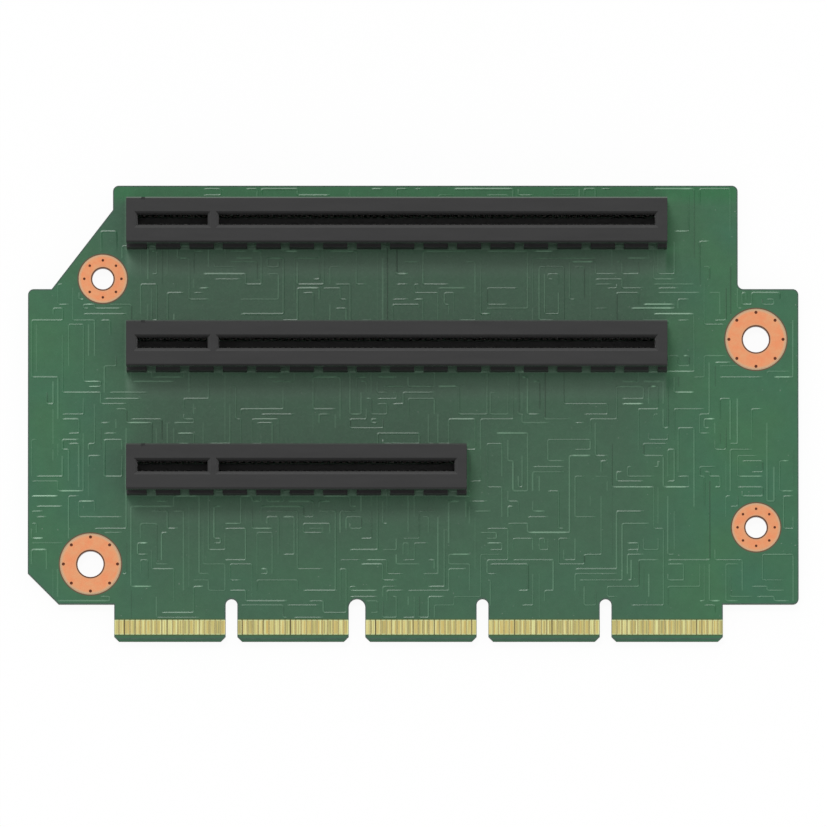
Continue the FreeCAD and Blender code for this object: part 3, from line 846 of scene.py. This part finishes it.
moulded_black, grain_in, grain_out = shader_group(
    "moulded_black",
    [("Place", "NodeSocketVector", None), ("Facing", "NodeSocketVector", None),
     ("Centre", "NodeSocketFloat", 0.0), ("Half length", "NodeSocketFloat", 44.5),
     ("Middle", "NodeSocketFloat", 0.0), ("Half width", "NodeSocketFloat", 3.75),
     ("Top", "NodeSocketFloat", 14.0), ("Rail shine", "NodeSocketFloat", 1.0)],
    [("Colour", "NodeSocketColor"), ("Roughness", "NodeSocketFloat"), ("Height", "NodeSocketFloat")],
)
tree = moulded_black
place = grain_in.outputs["Place"]
x, y, z = apart(tree, place)
facing_x, facing_y, facing_z = apart(tree, grain_in.outputs["Facing"])
flow = noise(tree, stretched(tree, place, (0.12, 0.9, 0.9)), 1.0, 2.0)
grain = noise(tree, place, 7.0, 3.0, 0.6)
tone = maths(tree, "MULTIPLY_ADD", grain, 0.5, maths(tree, "MULTIPLY", flow, 0.5))
black = blend_colour(tree, spread(tree, tone, 0.35, 0.65), plastic_black, plastic_grey)

# inside the slot: a rougher lip painted near black, a painted shade, walls below it painted near white as
# painted light down in the slot, and a floor darker than the walls but lighter than the plastic, also
# painted light
up_the_card = maths(tree, "SUBTRACT", y, grain_in.outputs["Middle"])
off_middle = maths(tree, "ABSOLUTE", up_the_card)
down = maths(tree, "SUBTRACT", grain_in.outputs["Top"], z)
off_centre = maths(tree, "ABSOLUTE", maths(tree, "SUBTRACT", x, grain_in.outputs["Centre"]))
to_end = maths(tree, "SUBTRACT", grain_in.outputs["Half length"], off_centre)
board_front_mm = board_front / MM
inside = spread(tree, off_middle, inner_half_mm + 0.03, inner_half_mm)
for bound in (
    spread(tree, down, lead_in_mm, lead_in_mm + 0.2),
    spread(tree, to_end, 0.5, 0.6),
    spread(tree, z, board_front_mm + 0.1, board_front_mm + 0.2),
):
    inside = maths(tree, "MULTIPLY", inside, bound)
deep = spread(tree, down, lead_in_mm + slot_lip_mm, lead_in_mm + slot_lip_mm + 0.3)
wall = blend_colour(tree, deep, slot_mouth_painted_shade, slot_wall_painted_light)
slot_light_and_shade = blend_colour(tree, spread(tree, facing_z, 0.3, 0.7), wall, slot_floor_painted_light)
black = blend_colour(tree, inside, black, slot_light_and_shade)
lip = maths(tree, "MULTIPLY", inside, maths(tree, "SUBTRACT", 1.0, deep))

# the lead-in slopes: the slope towards the lamp and the end slopes painted paler, a painted highlight,
# and the slope away from it painted darker and near black at its foot, a painted shade
near_top = spread(tree, down, lead_in_mm + 0.05, lead_in_mm - 0.02)
slanted = maths(tree, "MULTIPLY", spread(tree, facing_z, 0.92, 0.85), near_top)
toward_lamp = spread(tree, facing_y, 0.3, 0.5)
end_faces = spread(tree, maths(tree, "ABSOLUTE", facing_x), 0.3, 0.5, 0.0, 0.6)
slope_sheen = maths(tree, "MULTIPLY", slanted, maths(tree, "MAXIMUM", toward_lamp, end_faces))
shaded = maths(tree, "MULTIPLY", slanted, spread(tree, facing_y, -0.3, -0.5))
black = blend_colour(tree, slope_sheen, black, plastic_sheen)
black = blend_colour(tree, shaded, black, plastic_shaded)
slope_end = spread(tree, down, lead_in_mm - slope_foot_mm, lead_in_mm - slope_foot_mm + 0.14)
slope_end = maths(tree, "MULTIPLY", slope_end, shaded)
black = blend_colour(tree, slope_end, black, slope_foot_shade)

# the rail: a painted highlight along the far top edge, the edge towards the lamp, with painted shade in a
# strip beside it
from_edge = maths(tree, "SUBTRACT", grain_in.outputs["Half width"], up_the_card)
at_top = spread(tree, down, 0.4, 0.3)
rail_side_shade = spread(tree, from_edge, rail_width_mm + 0.3, rail_width_mm + 0.05, 0.0, 0.7)
black = blend_colour(tree, maths(tree, "MULTIPLY", rail_side_shade, at_top), black, plastic_shaded)
rail = maths(tree, "MULTIPLY", at_top, spread(tree, from_edge, rail_width_mm, rail_width_mm - 0.08))
rail = maths(tree, "MULTIPLY", rail, grain_in.outputs["Rail shine"])
tree.links.new(blend_colour(tree, rail, black, rail_highlight), grain_out.inputs["Colour"])

# the finish: matt, smoother on the upright outer walls that leave the mould last, dull at the lip
upright = spread(tree, maths(tree, "ABSOLUTE", facing_z), 0.3, 0.1)
past_wall = maths(tree, "SUBTRACT", off_middle, grain_in.outputs["Half width"])
at_wall = spread(tree, maths(tree, "ABSOLUTE", past_wall), 0.2, 0.1)
matt = spread(tree, grain, 0.3, 0.7, 0.42, 0.56)
rough = maths(tree, "MULTIPLY_ADD", maths(tree, "MULTIPLY", upright, at_wall), -wall_smoother, matt)
dull = maths(tree, "MAXIMUM", slope_end, lip)
rough = maths(tree, "MULTIPLY_ADD", dull, lip_rougher, rough)
tree.links.new(rough, grain_out.inputs["Roughness"])
tree.links.new(grain, grain_out.inputs["Height"])

# edges rounded off in the shading, with a mask along them for a painted highlight
rounded_edges, edge_round_in, edge_round_out = shader_group(
    "rounded_edges", [("Radius", "NodeSocketFloat", 0.0001)],
    [("Mask", "NodeSocketFloat"), ("Normal", "NodeSocketVector")],
)
tree = rounded_edges
rounded = node(tree, "ShaderNodeBevel", {"Radius": edge_round_in.outputs["Radius"]}, samples=6)
surface = node(tree, "ShaderNodeNewGeometry")
turned = node(
    tree, "ShaderNodeVectorMath", {0: rounded.outputs[0], 1: surface.outputs["Normal"]},
    operation="DOT_PRODUCT",
).outputs["Value"]
tree.links.new(spread(tree, turned, 0.995, 0.80), edge_round_out.inputs["Mask"])
tree.links.new(rounded.outputs[0], edge_round_out.inputs["Normal"])

for housing in housing_nodes:
    low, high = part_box(housing)
    place_name = housing.rsplit("_", 1)[1]
    middle = (low.y + high.y) / 2
    corners = [vertex.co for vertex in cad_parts[housing].data.vertices]
    top_corners = [corner for corner in corners if corner.z > high.z - top_band_mm * MM]
    top_half_width = max(corner.y for corner in top_corners) - middle
    material, tree, shader = new_material(f"black_plastic_{place_name}", Specular_IOR_Level=plastic_gloss)
    edge_round = use_group(tree, rounded_edges, {"Radius": edge_round_mm * MM})
    plastic = use_group(tree, moulded_black, {
        "Place": place_in_mm(tree),
        "Facing": node(tree, "ShaderNodeNewGeometry").outputs["Normal"],
        "Centre": (low.x + high.x) / (2 * MM),
        "Half length": (high.x - low.x) / (2 * MM),
        "Middle": middle / MM,
        "Half width": top_half_width / MM,
        "Top": high.z / MM,
        "Rail shine": rail_shine[place_name],
    })
    # painted highlight: the plastic is painted a little paler along every rounded edge
    edge_sheen = maths(tree, "MULTIPLY", edge_round["Mask"], 0.15)
    black = blend_colour(tree, edge_sheen, plastic["Colour"], plastic_sheen)
    tree.links.new(black, shader.inputs["Base Color"])
    tree.links.new(plastic["Roughness"], shader.inputs["Roughness"])
    add_relief(tree, shader, plastic["Height"], 0.01, 0.5, Normal=edge_round["Normal"])
    dress(housing, material)

# ------------------------------------------------------------------ spring contacts
# Stamped copper alloy blades, plated, one on each side of the slot for every position. Only their
# tips show, deep in the slot under the lip.
contact_nodes = sorted(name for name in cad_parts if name.startswith("slot_contacts"))
alloy_dark = (0.11, 0.105, 0.092, 1)
alloy_pale = (0.18, 0.17, 0.148, 1)

contact_material, tree, shader = new_material("plated_contact_alloy", Metallic=0.5)
place = place_in_mm(tree)
rolled = noise(tree, stretched(tree, place, (6.0, 6.0, 0.6)), 1.0, 3.0)
alloy = blend_colour(tree, spread(tree, rolled, 0.35, 0.65), alloy_dark, alloy_pale)
tree.links.new(alloy, shader.inputs["Base Color"])
tree.links.new(spread(tree, rolled, 0.3, 0.7, 0.32, 0.5), shader.inputs["Roughness"])
add_relief(tree, shader, rolled, 0.004, 0.5)
for contact in contact_nodes:
    dress(contact, contact_material)

# ------------------------------------------------------------------ solder joints
# Every contact ends in a tail that passes through the board, and wave soldering leaves a small bright
# cone round it on the back. The tails stand in two staggered lines on each side of the slot.
inner_line_mm = 1.25
outer_line_mm = 3.25
joint_profile_mm = [
    (0.52, -0.01), (0.50, 0.02), (0.36, 0.12), (0.25, 0.30), (0.19, 0.50), (0.17, 0.62), (0.10, 0.68),
]
joint_sides = 12
tin_grey = (0.50, 0.50, 0.49, 1)
tin_bright = (0.74, 0.74, 0.72, 1)

solder_material, tree, shader = new_material("tin_solder", Metallic=0.9)
place = place_in_mm(tree)
frost = noise(tree, place, 3.0, 4.0, 0.6)
tin = blend_colour(tree, spread(tree, frost, 0.3, 0.7), tin_grey, tin_bright)
tree.links.new(tin, shader.inputs["Base Color"])
tree.links.new(spread(tree, frost, 0.3, 0.7, 0.2, 0.42), shader.inputs["Roughness"])
add_relief(tree, shader, frost, 0.02, 0.5)


def contact_spots(contact):
    """Middles along X of the blades in a row of contacts."""
    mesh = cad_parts[contact].data
    ends = sorted({round(v.co.x / MM, 3) for v in mesh.vertices})
    return [(a + b) / 2 * MM for a, b in zip(ends[::2], ends[1::2])]


for contact in contact_nodes:
    place_name, side_name = contact.rsplit("_", 2)[1:]
    low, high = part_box(f"slot_housing_{place_name}")
    middle = (low.y + high.y) / 2
    side = 1 if side_name == "a" else -1
    points, faces = [], []
    for index, along in enumerate(contact_spots(contact)):
        line = inner_line_mm if (index + (side > 0)) % 2 else outer_line_mm
        spot = Vector((along, middle + side * line * MM, 0))
        turned_shape(points, faces, spot, joint_profile_mm, joint_sides, board_back, -1)
    name = f"solder_joints_{place_name}_{side_name}"
    joints = mesh_piece(name, points, faces, solder_material)
    for face in joints.data.polygons:
        face.use_smooth = len(face.vertices) == 4

# ------------------------------------------------------------------ floor, lamps and camera
# A pale floor under the card, one soft lamp high beyond the top edge, even white surroundings, and a
# long lens that looks almost straight down, from the side of the tongues.
ground_half = 3.0
floor_whiteness = 0.94
paper_grey = (0.97, 0.97, 0.97, 1)
paper_pale = (0.99, 0.99, 0.99, 1)
dome_strength = 0.75
lamp_strength = 0.25
lamp_lean = 0.12
lamp_tilt = 19.0
lamp_spread = 12.0
view_elevation = 86.2
view_width_mm = 136.3
view_aside_mm = 0.05
lens_mm = 1100.0


def seen_directly(tree):
    """1 for rays from the camera, off gloss or through glass, and 0 for rays that carry light."""
    rays = node(tree, "ShaderNodeLightPath").outputs
    seen = maths(tree, "MAXIMUM", rays["Is Camera Ray"], rays["Is Glossy Ray"])
    return maths(tree, "MAXIMUM", seen, rays["Is Transmission Ray"])


floor_mesh = bpy.data.meshes.new("pale_floor")
floor_mesh.from_pydata(
    [(-ground_half, -ground_half, 0), (ground_half, -ground_half, 0),
     (ground_half, ground_half, 0), (-ground_half, ground_half, 0)],
    [], [(0, 1, 2, 3)],
)
pale_floor = bpy.data.objects.new("pale_floor", floor_mesh)
bpy.context.scene.collection.objects.link(pale_floor)
floor_material = bpy.data.materials.new("pale_floor")
floor_material.use_nodes = True
tree = floor_material.node_tree
tree.nodes.clear()
paper = noise(tree, place_in_mm(tree), 0.05, 2.0)
paper_white = blend_colour(tree, paper, paper_grey, paper_pale)
lit = node(tree, "ShaderNodeBsdfDiffuse", {"Color": paper_white}).outputs[0]
white = node(tree, "ShaderNodeEmission", {"Color": (1, 1, 1, 1), "Strength": 1.0}).outputs[0]
share = maths(tree, "MULTIPLY", seen_directly(tree), floor_whiteness)
mixed = node(tree, "ShaderNodeMixShader", {0: share, 1: lit, 2: white}).outputs[0]
below = node(tree, "ShaderNodeNewGeometry").outputs["Backfacing"]
clear = node(tree, "ShaderNodeBsdfTransparent").outputs[0]
mixed = node(tree, "ShaderNodeMixShader", {0: below, 1: mixed, 2: clear}).outputs[0]
node(tree, "ShaderNodeOutputMaterial", {0: mixed})
floor_mesh.materials.append(floor_material)

surroundings = bpy.data.worlds.new("even_white")
surroundings.use_nodes = True
bpy.context.scene.world = surroundings
tree = surroundings.node_tree
tree.nodes.clear()
strength = spread(tree, seen_directly(tree), 0.0, 1.0, dome_strength, 1.0)
sky = node(tree, "ShaderNodeBackground", {"Color": (1, 1, 1, 1), "Strength": strength}).outputs[0]
node(tree, "ShaderNodeOutputWorld", {0: sky})

lamp = bpy.data.lights.new("high_soft_lamp", "SUN")
lamp.energy = lamp_strength * math.pi / math.cos(math.radians(lamp_tilt))
lamp.angle = math.radians(lamp_spread)
lamp_object = bpy.data.objects.new("high_soft_lamp", lamp)
shining = Vector((lamp_lean, -math.tan(math.radians(lamp_tilt)), -1))
lamp_object.rotation_euler = shining.to_track_quat("-Z", "Y").to_euler()
bpy.context.scene.collection.objects.link(lamp_object)

camera = bpy.data.cameras.new("camera")
camera.lens = lens_mm
distance = view_width_mm * MM * lens_mm / camera.sensor_width
camera.clip_start = distance * 0.1
camera.clip_end = distance * 3
camera_object = bpy.data.objects.new("camera", camera)
bpy.context.scene.collection.objects.link(camera_object)
rise = math.radians(view_elevation)
back = Vector((0, -math.cos(rise), math.sin(rise)))
target = Vector((view_aside_mm * MM, 0, board_front))
camera_object.location = target + back * distance
camera_object.rotation_euler = (-back).to_track_quat("-Z", "Y").to_euler()
bpy.context.scene.camera = camera_object
bpy.context.scene.view_settings.view_transform = "Standard"
